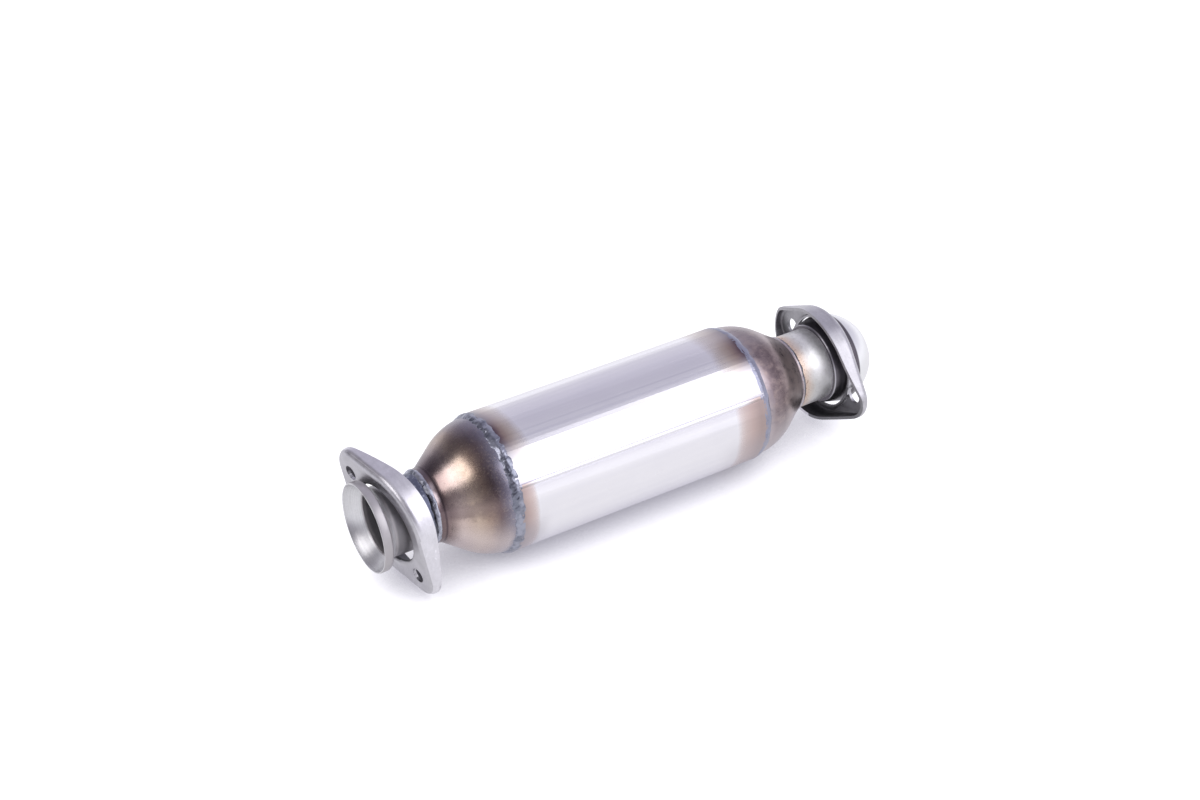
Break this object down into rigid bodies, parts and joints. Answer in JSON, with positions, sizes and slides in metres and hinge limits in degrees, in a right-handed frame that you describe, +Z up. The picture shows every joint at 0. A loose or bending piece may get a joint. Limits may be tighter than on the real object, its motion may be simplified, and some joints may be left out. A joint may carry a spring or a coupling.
{
  "type": "catalytic converter",
  "caption": "Round steel catalytic converter with two cones, a belled inlet stub, a ball-ended outlet stub and loose stamped flanges.",
  "frame": {"origin": "centre of the inlet cup's open end, on the pipe axis", "axes": "+X along the gas flow towards the ball-ended outlet, +Z up as the part lies"},
  "size_m": [0.4119, 0.1153, 0.1028],
  "materials": {
    "shell_steel": "bright rolled stainless sheet, heat tint beside the welds",
    "inlet_cone_steel": "drawn stainless with bronze heat tint",
    "outlet_cone_steel": "drawn stainless with dark taupe heat tint",
    "pipe_steel": "satin stainless tube with turned bell",
    "ball_steel": "smooth pressed stainless",
    "weld_metal": "rippled weld bead with blue-grey oxide",
    "flange_steel": "stamped steel, satin",
    "brick_ceramic": "matt coated ceramic honeycomb",
    "mat_fibre": "pressed fibre mat",
    "mesh_wire": "knitted wire ring"
  },
  "bodies": {
    "converter": {"shell": "shell_steel", "shell_seam_weld": "weld_metal", "inlet_cone": "inlet_cone_steel", "outlet_cone": "outlet_cone_steel", "inlet_pipe": "pipe_steel", "outlet_pipe": "pipe_steel", "outlet_ball": "ball_steel", "inlet_cone_weld": "weld_metal", "outlet_cone_weld": "weld_metal", "inlet_pipe_weld": "weld_metal", "outlet_pipe_weld": "weld_metal", "front_brick": "brick_ceramic", "front_mat": "mat_fibre", "front_mesh_seal": "mesh_wire", "rear_brick": "brick_ceramic", "rear_mat": "mat_fibre", "rear_mesh_seal": "mesh_wire"},
    "inlet_flange_body": {"inlet_flange": "flange_steel"},
    "outlet_flange_body": {"outlet_flange": "flange_steel"}
  },
  "joints": [
    {"name": "inlet_flange_turn", "type": "hinge", "parent": "converter", "child": "inlet_flange_body", "pos_m": [0.0157, 0, -0.0028], "axis": [-0.9814, -0.1607, -0.1045], "continuous": true},
    {"name": "outlet_flange_turn", "type": "hinge", "parent": "converter", "child": "outlet_flange_body", "pos_m": [0.387, 0, -0.001], "axis": [0.9993, -0.0192, -0.0332], "continuous": true}
  ]
}
